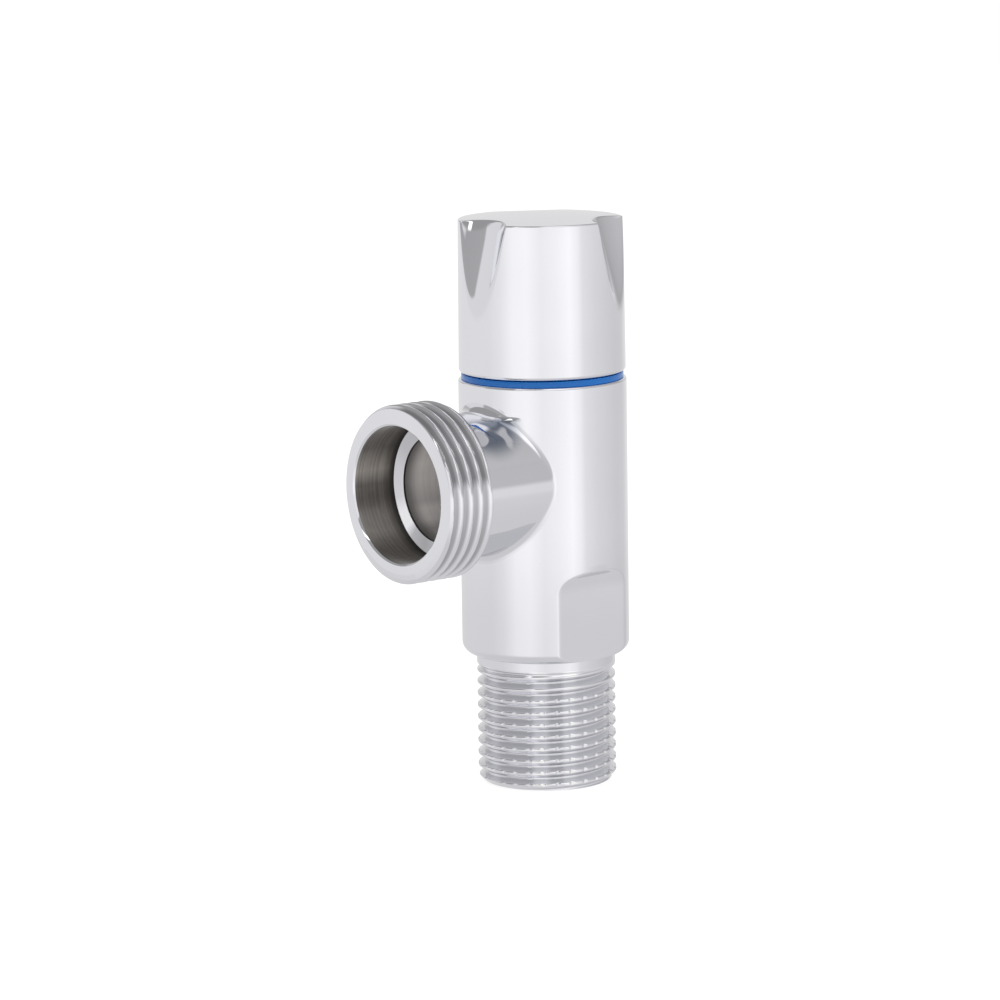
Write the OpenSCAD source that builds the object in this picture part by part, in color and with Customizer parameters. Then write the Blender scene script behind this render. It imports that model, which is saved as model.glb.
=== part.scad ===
// Quarter-turn angle valve: chromed body with a male inlet below and a male
// outlet at the side, ceramic-disc cartridge inside, three-notch knob on top.
// The origin is the centre of the inlet's end face. +Z runs up the spindle and
// the outlet points along -Y. The valve is drawn closed, in millimetres.

/* [Body] */
// Outside diameter of the body
body_d = 25.1; // [24.6:0.1:30]
// Length of the body, from its shoulder to its top face
body_length = 41.4; // [39:0.2:60]
// Rounding of the body's lower edge
body_edge = 1.7; // [0.5:0.1:3]
// Bevel round the body's top face
body_top_bevel = 0.3; // [0.1:0.1:0.8]

/* [Inlet] */
// Length of the threaded stem below the body
stem_length = 19.6; // [12:0.2:32]
// Outside diameter of the inlet thread, half-inch pipe size
inlet_thread_d = 20.8; // [18:0.1:21]
// Bevel at the end of the inlet thread
inlet_bevel = 0.9; // [0.3:0.1:1.5]
// Bore of the inlet
inlet_bore_d = 14.4; // [12:0.1:15.5]

/* [Outlet] */
// Distance from the body's top face down to the outlet's centre line
outlet_drop = 14.6; // [13.6:0.2:16.4]
// Distance from the spindle's axis to the outlet's face
outlet_reach = 27.9; // [25:0.05:40]
// Outside diameter of the outlet thread, three-quarter-inch pipe size
outlet_thread_d = 26.3; // [25:0.1:27]
// Length of the outlet thread
outlet_thread_length = 8.3; // [6:0.1:12]
// Bevel at the end of the outlet thread
outlet_bevel = 0.4; // [0.2:0.1:1]
// Diameter of the plain neck behind the outlet thread
outlet_neck_d = 21.2; // [19:0.1:23]
// Radius of the blend between the neck and the body
outlet_blend_r = 1.5; // [0.5:0.1:2]
// Bore of the outlet's mouth
outlet_bore_d = 20.4; // [18:0.1:20.6]
// Depth of the outlet's mouth
outlet_bore_depth = 7.5; // [4:0.1:9]
// Bevel round the mouth of the outlet
outlet_mouth_bevel = 0.4; // [0.1:0.1:0.8]
// Bore of the passage from the outlet's mouth to the chamber
outlet_passage_d = 16; // [10:0.1:17]

/* [Wrench flats] */
// Distance across the two wrench flats
flat_across = 21.6; // [21.2:0.1:24]
// Height of the flats above the shoulder, up to their curved run-out
flat_height = 10.6; // [6:0.1:12]
// Radius of the run-out at the top of each flat
flat_runout_r = 3.5; // [2:0.1:6]

/* [Chamber and seat] */
// Bore of the chamber that holds the cartridge
chamber_d = 18.4; // [18:0.1:19]
// Depth of the chamber, from the body's top face down to the seat
chamber_depth = 27; // [26:0.2:28]
// Thickness of the web that carries the seat
seat_web = 3.5; // [2:0.1:5]
// Bore through the seat
seat_bore_d = 11; // [9:0.1:12]

/* [Cartridge] */
// Outside diameter of the housing's skirt
skirt_d = 17.2; // [16.6:0.1:17.6]
// Wall of the housing's skirt
skirt_wall = 1.2; // [1:0.1:1.5]
// Height of the two water windows in the skirt
window_height = 6; // [3:0.1:6.4]
// Width of the two water windows in the skirt
window_width = 10; // [6:0.1:12]
// Length of the housing's thread
housing_thread_length = 5.4; // [4:0.1:7]
// Thickness of that flange
flange_height = 1.2; // [0.8:0.1:2]
// Distance across the flats of the housing's hexagon
hex_across = 17.4; // [15:0.1:18]
// Height of the hexagon
hex_height = 3.4; // [2:0.1:5]
// Thickness of each ceramic disc
disc_height = 3; // [2.4:0.1:3.4]
// Inner radius of the discs' water ports
port_inner_r = 2; // [1.5:0.1:3]
// Outer radius of the discs' water ports
port_outer_r = 5; // [4:0.1:5.2]
// Angle that each water port spans, in degrees
port_angle = 70; // [50:1:80]
// Height of the rubber seat seal
seal_height = 2.2; // [1.6:0.1:3]
// Wall of the rubber seat seal
seal_wall = 1; // [0.8:0.1:1.3]
// Wall of the stiff ring inside the seat seal
support_wall = 0.5; // [0.3:0.1:0.6]

/* [Spindle] */
// Diameter of the spindle's round stem
spindle_d = 8; // [7:0.1:9]
// Height of the forked carrier that turns the upper disc
carrier_height = 7; // [6:0.1:8]
// Thickness of the carrier's plate
carrier_plate = 2; // [1.5:0.1:2.5]
// Thickness of the slip washer
washer_height = 0.6; // [0.4:0.1:1]
// Height of the stop lug above the slip washer's seat
stop_height = 1.2; // [0.8:0.1:2]
// Angle that the stop lug spans, in degrees
stop_angle = 60; // [40:1:90]
// Turn of the knob from closed to open, in degrees
turn_angle = 90; // [60:1:120]
// Thickness of the spindle's O-rings
oring_t = 1.4; // [1:0.1:1.6]
// Distance between the spindle's two O-rings
oring_pitch = 3.4; // [2.6:0.1:4]
// Thickness of the spindle's retaining clip
clip_height = 0.7; // [0.5:0.1:1]
// Length of the spline above the clip
spline_length = 9; // [6:0.5:10]
// Number of teeth on the spline
spline_teeth = 20; // [12:1:24]
// Depth of the spline's teeth
spline_depth = 0.45; // [0.3:0.05:0.6]

/* [Indicator ring] */
// Outside diameter of the coloured ring
ring_d = 24.2; // [23.6:0.1:25]
// Height of the coloured ring
ring_height = 0.9; // [0.6:0.1:2]
// Width of the coloured ring, which sits round the housing's flange
ring_width = 1.85; // [1.5:0.05:2]

/* [Knob] */
// Outside diameter at the knob's lower end
knob_d = 24.9; // [24.6:0.1:30]
// Outside diameter at the knob's top
knob_top_d = 24.5; // [24:0.1:30]
// Length of the knob, up to the rim of its top
knob_length = 22.8; // [21:0.1:30]
// Rounding of the knob's lower edge
knob_lower_edge = 0.6; // [0.2:0.1:1]
// Rounding of the knob's top edge
knob_top_edge = 0.3; // [0.2:0.1:1]
// Rise of the knob's domed top above its rim
knob_dome = 0.5; // [0.2:0.1:1.5]
// Number of finger notches
notch_count = 3; // [2:1:4]
// Depth of each notch at the knob's top
notch_depth = 3.35; // [1.5:0.05:3.8]
// Length of each notch, down from the knob's top
notch_length = 12.8; // [8:0.1:13]
// Radius of the groove that makes each notch
notch_r = 7.4; // [4:0.1:9]
// Wall of the knob's skirt
knob_wall = 1.3; // [1:0.1:1.6]
// Height of the skirt's straight inside
knob_skirt_inside = 8; // [6:0.1:9]
// Thickness of the knob's top
knob_top_wall = 4.3; // [3:0.1:5]
// Diameter of the boss inside the knob
knob_boss_d = 14; // [13:0.1:14.6]
// Outside diameter of the bush inside the boss
bush_d = 11.2; // [10.4:0.1:11.6]

/* [Clearances] */
// Gap round parts that turn in a bore, on the radius
running_gap = 0.05; // [0.03:0.01:0.08]
// Gap between the knob and the coloured ring
knob_gap = 0.1; // [0.1:0.05:0.5]
// Gap round parts that are pressed or screwed together, on the radius
seat_gap = 0.05; // [0.02:0.01:0.08]
// Free angle at each end of the turn, in degrees
stop_play = 0.5; // [0.3:0.1:1]

/* [Hidden] */
$fn = 96;
eps = 0.01;
cut = 1;
// Heights up the spindle's axis
body_top = stem_length + body_length;
outlet_z = body_top - outlet_drop;
seat_z = body_top - chamber_depth;
disc_z = seat_z + seal_height;
upper_disc_z = disc_z + disc_height;
carrier_z = upper_disc_z + disc_height;
plate_z = carrier_z + carrier_height - carrier_plate;
washer_z = carrier_z + carrier_height;
ceiling_z = washer_z + washer_height;
skirt_z = seat_z + 0.5;
hex_z = body_top + flange_height;
hex_top = hex_z + hex_height;
clip_z = hex_top + 2 * seat_gap;
spline_z = clip_z + clip_height + 0.8;
spline_top = spline_z + spline_length;
ring_top = body_top + ring_height;
knob_z = ring_top + knob_gap;
knob_top = knob_z + knob_length;
oring_z = (ceiling_z + hex_top) / 2 - oring_pitch / 2;
// Widths of the pieces that nest in the cartridge
ring_inner_r = ring_d / 2 - ring_width;
flange_r = ring_inner_r - seat_gap;
thread_r = chamber_d / 2 - seat_gap;
skirt_inner_r = skirt_d / 2 - skirt_wall;
disc_r = skirt_inner_r - 2 * seat_gap;
seal_r = disc_r;
seal_inner_r = seal_r - seal_wall;
support_r = seal_inner_r - seat_gap;
spindle_r = spindle_d / 2;
stem_bore_r = spindle_r + running_gap;
carrier_r = disc_r - seat_gap;
washer_r = spindle_r + 1.3;
stop_inner_r = washer_r + 0.3;
stop_outer_r = carrier_r - 0.2;
leg_angle = 50;
leg_inner_r = spindle_r;
tab_depth = disc_height * 0.4;
tab_angle = 24;
key_width = 2.2;
groove_r = spindle_r - oring_t + 0.25;
clip_groove_r = spindle_r - 0.55;
clip_r = spindle_r + 1.2;
spline_r = spindle_r - 0.1;
undercut_height = oring_t;
undercut_r = chamber_d / 2 - oring_t;
bush_flat = bush_d / 2 - 0.7;
boss_z = spline_z + 0.4;
knob_inner_r = knob_d / 2 - knob_wall;
cavity_top = knob_top - knob_top_wall;
cavity_top_r = knob_boss_d / 2 + 1;
notch_tilt = atan(notch_depth / notch_length);
// Radius of the domed top, and the angle that it spans on each side
rim_r = knob_top_d / 2 - knob_top_edge;
dome_r = (rim_r * rim_r + knob_dome * knob_dome) / (2 * knob_dome);
dome_angle = asin(rim_r / dome_r);
// How far the blend reaches into the walls that it joins
blend_sink = 1;
blend_bite = 0.04;

// Points of an arc round [x, y]
function arc(x, y, r, from, to, steps = 5) =
    [for (i = [0 : steps]) let (a = from + (to - from) * i / steps)
        [x + r * cos(a), y + r * sin(a)]];

// Outline of a spline with straight-sided teeth
function spline_points(r, depth, teeth) =
    [for (i = [0 : teeth - 1], k = [[0, 0], [0.15, 1], [0.5, 1], [0.65, 0]])
        let (a = 360 * (i + k[0]) / teeth, rr = r - depth * (1 - k[1]))
        [rr * cos(a), rr * sin(a)]];

// Turned solid from an outline of [radius, height] points
module turned(points) rotate_extrude() polygon(points);

// Plain ring
module ring(r_out, r_in, h) {
    difference() {
        cylinder(r = r_out, h = h);
        translate([0, 0, -cut]) cylinder(r = r_in, h = h + 2 * cut);
    }
}

// Part of a ring, centred on +X
module sector(r_out, r_in, h, angle) {
    rotate([0, 0, -angle / 2]) rotate_extrude(angle = angle)
        translate([r_in, 0]) square([r_out - r_in, h]);
}

// Round-section sealing ring that fills a groove
module oring(r_in, r_out) {
    t = r_out - r_in;
    rotate_extrude() translate([r_in + t / 2, 0]) circle(d = t, $fn = 32);
}

// Flat-sided cut that leaves one wrench flat on the +X side
module flat_cut() {
    depth = body_d;
    translate([0, depth, 0]) rotate([90, 0, 0]) linear_extrude(2 * depth) {
        translate([flat_across / 2, stem_length - cut])
            square([depth, flat_height + cut]);
        translate([flat_across / 2 + flat_runout_r, stem_length + flat_height])
            circle(r = flat_runout_r);
    }
}

module barrel() {
    r = body_d / 2;
    difference() {
        turned(concat([[0, stem_length]],
            arc(r - body_edge, stem_length + body_edge, body_edge, -90, 0),
            [[r, body_top - body_top_bevel],
             [r - body_top_bevel, body_top], [0, body_top]]));
        flat_cut();
        mirror([1, 0, 0]) flat_cut();
    }
}

module inlet_stem() {
    r = inlet_thread_d / 2;
    turned([[0, 0], [r - inlet_bevel, 0], [r, inlet_bevel],
        [r, stem_length + body_edge], [0, stem_length + body_edge]]);
}

module outlet_branch() {
    r = outlet_thread_d / 2;
    neck = outlet_reach - outlet_thread_length;
    translate([0, 0, outlet_z]) rotate([90, 0, 0])
        turned([[0, 0], [outlet_neck_d / 2, 0], [outlet_neck_d / 2, neck],
            [r - outlet_bevel, neck], [r, neck + outlet_bevel],
            [r, outlet_reach - outlet_bevel],
            [r - outlet_bevel, outlet_reach], [0, outlet_reach]]);
}

// One section of the blend, at angle t round the neck: the ball that rolls in
// the corner touches the neck and the barrel, and the section closes inside both
function blend_section(t, steps) =
    let (r = outlet_blend_r, neck = outlet_neck_d / 2, barrel = body_d / 2,
        x = (neck + r) * cos(t), z = (neck + r) * sin(t),
        y = sqrt(pow(barrel + r, 2) - x * x),
        to_neck = [-cos(t), 0, -sin(t)],
        to_barrel = [-x, y, 0] / (barrel + r),
        bend = acos(to_neck * to_barrel),
        inner_x = (neck - blend_sink) * cos(t),
        inner_y = sqrt(pow(barrel - blend_sink, 2) - inner_x * inner_x))
    concat(
        [for (i = [0 : steps]) let (f = i / steps,
            ball = [x, -y, z] + r * (to_neck * sin((1 - f) * bend)
                + to_barrel * sin(f * bend)) / sin(bend))
            ball + blend_bite * (i == 0 ? to_neck : i == steps ? to_barrel : [0, 0, 0])],
        [[inner_x, -inner_y, (neck - blend_sink) * sin(t)]]);

// Rolled blend in the corner between the neck and the barrel
module outlet_blend() {
    steps = 4;
    rings = 60;
    n = steps + 2;
    points = [for (k = [0 : rings - 1])
        each blend_section(360 * k / rings, steps)];
    faces = [for (k = [0 : rings - 1], i = [0 : n - 1])
        let (a = k * n, b = ((k + 1) % rings) * n, j = (i + 1) % n)
        each [[a + i, b + i, b + j], [a + i, b + j, a + j]]];
    translate([0, 0, outlet_z]) polyhedron(points, faces);
}

module outlet_bores() {
    r = outlet_bore_d / 2;
    translate([0, 0, outlet_z]) rotate([90, 0, 0]) {
        cylinder(d = outlet_passage_d, h = outlet_reach);
        translate([0, 0, outlet_reach - outlet_bore_depth])
            cylinder(r = r, h = outlet_bore_depth + cut);
        translate([0, 0, outlet_reach - outlet_mouth_bevel])
            cylinder(r1 = r, r2 = r + outlet_mouth_bevel + cut,
                h = outlet_mouth_bevel + cut);
    }
}

module valve_body() {
    color("gainsboro") difference() {
        union() {
            barrel();
            inlet_stem();
            outlet_branch();
            outlet_blend();
        }
        translate([0, 0, -cut])
            cylinder(d = inlet_bore_d, h = seat_z - seat_web + cut);
        cylinder(d = seat_bore_d, h = seat_z + cut);
        translate([0, 0, seat_z])
            cylinder(d = chamber_d, h = body_top - seat_z + cut);
        outlet_bores();
    }
}

module indicator_ring() {
    color("royalblue") translate([0, 0, body_top])
        ring(ring_d / 2, ring_inner_r, ring_height);
}

// Brass headwork: skirt with windows, thread, O-ring seat, flange, hexagon
module cartridge_housing() {
    color("goldenrod") difference() {
        union() {
            turned([[0, skirt_z], [skirt_d / 2, skirt_z],
                [skirt_d / 2, body_top - undercut_height - housing_thread_length],
                [thread_r, body_top - undercut_height - housing_thread_length],
                [thread_r, body_top - undercut_height],
                [undercut_r, body_top - undercut_height],
                [undercut_r, body_top], [flange_r, body_top],
                [flange_r, hex_z], [0, hex_z]]);
            translate([0, 0, hex_z - eps])
                cylinder(d = hex_across / cos(30), h = hex_height + eps, $fn = 6);
        }
        translate([0, 0, skirt_z - cut])
            cylinder(r = skirt_inner_r, h = ceiling_z - skirt_z + cut);
        cylinder(r = stem_bore_r, h = hex_top + cut);
        // Curved slot in the ceiling that the stop lug runs in
        translate([0, 0, ceiling_z - eps])
            rotate([0, 0, turn_angle / 2])
                sector(stop_outer_r + 0.15, stop_inner_r - 0.15,
                    stop_height + 0.1 + eps,
                    stop_angle + turn_angle + 2 * stop_play);
        // Water windows on the outlet's side and opposite it
        translate([-window_width / 2, -skirt_d, carrier_z + 0.2])
            cube([window_width, 2 * skirt_d, window_height]);
        // Slots that keep the fixed disc from turning
        translate([-skirt_d, -key_width / 2 - seat_gap, skirt_z - cut])
            cube([2 * skirt_d, key_width + 2 * seat_gap,
                upper_disc_z - skirt_z + cut]);
    }
}

module cartridge_oring() {
    color("#222222") translate([0, 0, body_top - undercut_height / 2])
        oring(undercut_r + 0.02, chamber_d / 2 - 0.02);
}

module spindle() {
    color("darkkhaki") difference() {
        union() {
            // Forked carrier with its two drive tabs
            translate([0, 0, plate_z]) cylinder(r = carrier_r, h = carrier_plate);
            for (side = [90, 270]) rotate([0, 0, side]) {
                translate([0, 0, carrier_z + seat_gap])
                    sector(carrier_r, leg_inner_r,
                        plate_z - carrier_z, leg_angle);
                translate([0, 0, carrier_z - tab_depth])
                    sector(carrier_r, carrier_r - 1.6,
                        plate_z - carrier_z + tab_depth, tab_angle);
            }
            // Stop lug
            translate([0, 0, washer_z - eps])
                sector(stop_outer_r, stop_inner_r,
                    washer_height + stop_height + eps, stop_angle);
            translate([0, 0, washer_z - eps])
                cylinder(r = spindle_r, h = spline_z - washer_z + eps);
            translate([0, 0, spline_z - eps]) linear_extrude(spline_length + eps)
                polygon(spline_points(spline_r, spline_depth, spline_teeth));
        }
        for (z = [oring_z, oring_z + oring_pitch])
            translate([0, 0, z - oring_t * 0.6])
                ring(spindle_r + cut, groove_r, oring_t * 1.2);
        translate([0, 0, clip_z])
            ring(spindle_r + cut, clip_groove_r, clip_height + 0.1);
    }
}

module spindle_clip() {
    color("silver") translate([0, 0, clip_z + 0.05]) difference() {
        ring(clip_r, clip_groove_r + 0.02, clip_height);
        translate([0, -clip_groove_r * 0.7, -cut])
            cube([2 * clip_r, clip_groove_r * 1.4, clip_height + 2 * cut]);
    }
}

module spindle_oring() {
    color("#222222") oring(groove_r + 0.02, stem_bore_r - 0.02);
}

module spindle_oring_upper() {
    translate([0, 0, oring_z + oring_pitch]) spindle_oring();
}

module spindle_oring_lower() {
    translate([0, 0, oring_z]) spindle_oring();
}

module slip_washer() {
    color("white") translate([0, 0, washer_z])
        ring(washer_r, spindle_r + running_gap, washer_height - 0.05);
}

// Two water ports through a disc, centred on the given direction
module ports(direction) {
    for (side = [0, 180]) rotate([0, 0, direction + side])
        translate([0, 0, -cut])
            sector(port_outer_r, port_inner_r, disc_height + 2 * cut, port_angle);
}

module rotating_disc() {
    color("ivory") translate([0, 0, upper_disc_z]) difference() {
        cylinder(r = disc_r, h = disc_height);
        ports(0);
        // Pockets for the drive tabs
        for (side = [90, 270]) rotate([0, 0, side])
            translate([0, 0, disc_height - tab_depth - seat_gap])
                sector(disc_r + cut, carrier_r - 1.6 - seat_gap,
                    tab_depth + cut, tab_angle + 2);
    }
}

module fixed_disc() {
    color("ivory") translate([0, 0, disc_z]) difference() {
        union() {
            cylinder(r = disc_r, h = disc_height);
            // Keys that sit in the skirt's slots
            translate([-skirt_d / 2 + 0.2, -key_width / 2, 0])
                cube([skirt_d - 0.4, key_width, disc_height - 2 * seat_gap]);
        }
        ports(90);
    }
}

module seat_seal() {
    color("#222222") translate([0, 0, seat_z])
        ring(seal_r, seal_inner_r, seal_height);
}

module seal_support_ring() {
    color("lightgray") translate([0, 0, seat_z])
        ring(support_r, support_r - support_wall, seal_height - 0.3);
}

// One finger notch on the -Y side: a round groove that leans inward
module notch() {
    translate([0, -knob_top_d / 2 + notch_depth, knob_top])
        rotate([-notch_tilt, 0, 0]) translate([0, -notch_r, -2 * notch_length])
            cylinder(r = notch_r, h = 3 * notch_length);
}

module handle() {
    r = knob_d / 2;
    r_top = knob_top_d / 2;
    color("gainsboro") difference() {
        turned(concat([[0, knob_z]],
            arc(r - knob_lower_edge, knob_z + knob_lower_edge,
                knob_lower_edge, -90, 0, 4),
            arc(r_top - knob_top_edge, knob_top - knob_top_edge,
                knob_top_edge, 0, 90 - dome_angle, 4),
            arc(0, knob_top + knob_dome - dome_r, dome_r,
                90 - dome_angle, 90, 8)));
        for (i = [0 : notch_count - 1])
            rotate([0, 0, 360 * i / notch_count]) notch();
        // Inside of the skirt, with the boss left standing
        difference() {
            turned([[0, knob_z - cut], [knob_inner_r, knob_z - cut],
                [knob_inner_r, knob_z + knob_skirt_inside],
                [cavity_top_r, cavity_top], [0, cavity_top]]);
            translate([0, 0, boss_z])
                cylinder(d = knob_boss_d, h = knob_top - boss_z);
        }
        // Socket for the bush, with a flat that keys it
        translate([0, 0, boss_z - cut]) difference() {
            cylinder(d = bush_d, h = spline_top - boss_z + 0.5 + cut);
            translate([bush_flat, -bush_d, -cut])
                cube([bush_d, 2 * bush_d, spline_length + 5 * cut]);
        }
    }
}

module handle_bush() {
    color("whitesmoke") translate([0, 0, boss_z]) difference() {
        cylinder(r = bush_d / 2 - seat_gap, h = spline_top - boss_z + 0.4);
        translate([bush_flat - seat_gap, -bush_d, -cut])
            cube([bush_d, 2 * bush_d, spline_length + 5 * cut]);
        translate([0, 0, -cut]) linear_extrude(spline_length + 5 * cut)
            polygon(spline_points(spline_r + seat_gap, spline_depth, spline_teeth));
    }
}

valve_body();
indicator_ring();
handle();
handle_bush();
cartridge_housing();
cartridge_oring();
spindle();
spindle_clip();
spindle_oring_upper();
spindle_oring_lower();
slip_washer();
rotating_disc();
fixed_disc();
seat_seal();
seal_support_ring();
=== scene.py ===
import math
import bpy
import bmesh
import numpy as np
from mathutils import Matrix


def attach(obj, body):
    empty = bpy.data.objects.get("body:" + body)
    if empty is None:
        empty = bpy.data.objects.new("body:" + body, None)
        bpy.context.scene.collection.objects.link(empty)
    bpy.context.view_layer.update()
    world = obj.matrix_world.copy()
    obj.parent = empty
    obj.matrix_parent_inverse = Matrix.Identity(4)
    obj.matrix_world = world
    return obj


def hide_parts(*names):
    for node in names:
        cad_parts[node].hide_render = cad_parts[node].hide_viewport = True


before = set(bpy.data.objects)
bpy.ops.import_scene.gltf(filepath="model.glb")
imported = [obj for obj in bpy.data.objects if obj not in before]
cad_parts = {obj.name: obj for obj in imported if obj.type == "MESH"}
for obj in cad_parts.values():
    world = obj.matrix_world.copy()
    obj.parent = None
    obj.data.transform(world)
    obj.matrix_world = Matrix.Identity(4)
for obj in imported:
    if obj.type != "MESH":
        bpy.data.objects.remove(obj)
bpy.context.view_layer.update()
print("frame loaded with", len(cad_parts), "nodes")

mm = 0.001  # every mesh is worked out in millimetres and stored in metres
branchHeight = 46.4  # of the branch's axis above the inlet's end
branchTurn = -90  # the branch's direction round the valve's axis, in degrees
nearly = 0.001  # slack where angles are compared, in degrees
tiny = 0.000001  # slack for rounding
leastSlope = 0.05  # keeps a flat's distance finite in the directions it doesn't face

cameraSetup = {
    "place": (0.50045, -0.41489, 0.15302),
    "turn": (80.3489, 0.8478, 50.7758),
    "lens": 158.61,
    "sensor": 36.0,
    "clip": (0.01, 20),
}


def makeCamera(setup):
    data = bpy.data.cameras.new("benchCamera")
    data.lens = setup["lens"]
    data.sensor_width = setup["sensor"]
    data.clip_start, data.clip_end = setup["clip"]
    camera = bpy.data.objects.new("benchCamera", data)
    camera.location = setup["place"]
    camera.rotation_euler = [math.radians(a) for a in setup["turn"]]
    bpy.context.scene.collection.objects.link(camera)
    bpy.context.scene.camera = camera


makeCamera(cameraSetup)
bpy.context.scene.view_settings.view_transform = "Standard"
print("camera placed")


def wire(tree, source, target):
    tree.links.new(source, target)


def fill(tree, value, socket):  # another node's socket is linked, anything else is set
    if isinstance(value, bpy.types.NodeSocket):
        wire(tree, value, socket)
    else:
        socket.default_value = value


def newNode(tree, kind, inputs=None):
    node = tree.nodes.new(kind)
    for name, value in (inputs or {}).items():
        fill(tree, value, node.inputs[name])
    return node


def mathNode(tree, operation, *values, clamp=False):
    node = newNode(tree, "ShaderNodeMath", dict(enumerate(values)))
    node.operation = operation
    node.use_clamp = clamp
    return node.outputs[0]


def plus(tree, first, second):
    return mathNode(tree, "ADD", first, second)


def minus(tree, first, second, clamp=False):
    return mathNode(tree, "SUBTRACT", first, second, clamp=clamp)


def times(tree, first, second):
    return mathNode(tree, "MULTIPLY", first, second)


def over(tree, first, second, clamp=False):
    return mathNode(tree, "DIVIDE", first, second, clamp=clamp)


def distanceNode(tree, first, second):
    squares = plus(tree, times(tree, first, first), times(tree, second, second))
    return mathNode(tree, "SQRT", squares)


def turnNode(tree, first, second):  # direction as a share of a full turn, from -0.5 to 0.5
    return over(tree, mathNode(tree, "ARCTAN2", second, first), 2 * math.pi)


def vectorNode(tree, operation, first, second):
    node = newNode(tree, "ShaderNodeVectorMath", {0: first, 1: second})
    node.operation = operation
    return node.outputs["Value" if operation == "DISTANCE" else "Vector"]


def rangeNode(tree, value, given, wanted, smooth=False):
    inputs = {"Value": value, "From Min": given[0], "From Max": given[1],
              "To Min": wanted[0], "To Max": wanted[1]}
    node = newNode(tree, "ShaderNodeMapRange", inputs)
    node.interpolation_type = "SMOOTHSTEP" if smooth else "LINEAR"
    return node.outputs["Result"]


def fadeNode(tree, value, start, end):  # smoothly from 0 at the start to 1 at the end
    return rangeNode(tree, value, (start, end), (0, 1), True)


def paint(value):  # a grey level or a colour as a colour socket wants it
    return (*value, 1) if isinstance(value, tuple) else (value, value, value, 1)


def rampNode(tree, value, stops):
    node = newNode(tree, "ShaderNodeValToRGB", {"Fac": value})
    ramp = node.color_ramp
    while len(ramp.elements) < len(stops):
        ramp.elements.new(0.5)
    for element, (place, colour) in zip(ramp.elements, stops):
        element.position = place
        element.color = paint(colour)
    return node.outputs["Color"]


def directionRamp(tree, turn, stops):  # stops are (degrees, level), turn goes from 0 to 1
    return rampNode(tree, turn, [((angle + 180) / 360, level) for angle, level in stops])


def noiseNode(tree, vector, scale, detail=2.0, roughness=0.5):
    inputs = {"Vector": vector, "Scale": scale, "Detail": detail, "Roughness": roughness}
    return newNode(tree, "ShaderNodeTexNoise", inputs).outputs["Fac"]


def objectPlace(tree, scale=(1, 1, 1), shift=(0, 0, 0)):
    place = newNode(tree, "ShaderNodeTexCoord").outputs["Object"]
    inputs = {"Vector": place, "Scale": scale, "Location": shift}
    return newNode(tree, "ShaderNodeMapping", inputs).outputs["Vector"]


def bumpNode(tree, height, distance, under=None):
    inputs = {"Height": height, "Strength": 1.0, "Distance": distance}
    node = newNode(tree, "ShaderNodeBump", inputs)
    if under is not None:
        wire(tree, under, node.inputs["Normal"])
    return node.outputs["Normal"]


def splitNode(tree, vector):
    x, y, z = newNode(tree, "ShaderNodeSeparateXYZ", {0: vector}).outputs
    return x, y, z


def mixColours(tree, factor, first, second):
    node = newNode(tree, "ShaderNodeMix", {"Factor": factor})
    node.data_type = "RGBA"
    for value, socket in ((first, node.inputs[6]), (second, node.inputs[7])):  # its colour sockets
        fill(tree, value if isinstance(value, bpy.types.NodeSocket) else paint(value), socket)
    return node.outputs[2]


def blendShaders(tree, factor, first, second):
    inputs = {"Fac": factor, 1: first.outputs[0], 2: second.outputs[0]}
    return newNode(tree, "ShaderNodeMixShader", inputs)


def blankMaterial(name):
    material = bpy.data.materials.new(name)
    material.use_nodes = True
    tree = material.node_tree
    tree.nodes.clear()
    shader = newNode(tree, "ShaderNodeBsdfPrincipled")
    newNode(tree, "ShaderNodeOutputMaterial", {"Surface": shader.outputs["BSDF"]})
    return material, tree, shader


noiseSpan = (0.3, 0.7)  # nearly every value of a noise lies between these
toBranch = (0.0, 0.0, -branchHeight * mm)  # brings the branch's axis to the centre

chromeLook = {
    "light": (0.885, 0.885, 0.925),
    "dark": (0.855, 0.855, 0.895),
    "roughness": (0.025, 0.055),
    "peelScale": 420.0,
    "peelHeight": 0.000004,
    "waveScale": 70.0,
    "waveHeight": 0.00002,
}
rippleLook = {  # uneven hand polish over the branch's root, as bumps, with dark patches of painted reflection in its colour
    "centre": (0.0042, -0.0158, 0.0552),
    "reach": (0.0072, 0.0038),  # distances where it starts and where it is full
    "top": (0.0568, 0.0560),  # the same for the height
    "shift": (0.003, 0.001, 0.002),
    "scale": 230.0,
    "roughness": 0.45,
    "height": 0.00045,
    "broken": (0.46, 0.52),  # noise levels where a patch of painted dark reflection starts and where it is full
    # colour of the painted dark reflection patches
    "paintedDark": (0.24, 0.27, 0.33),
}
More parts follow.
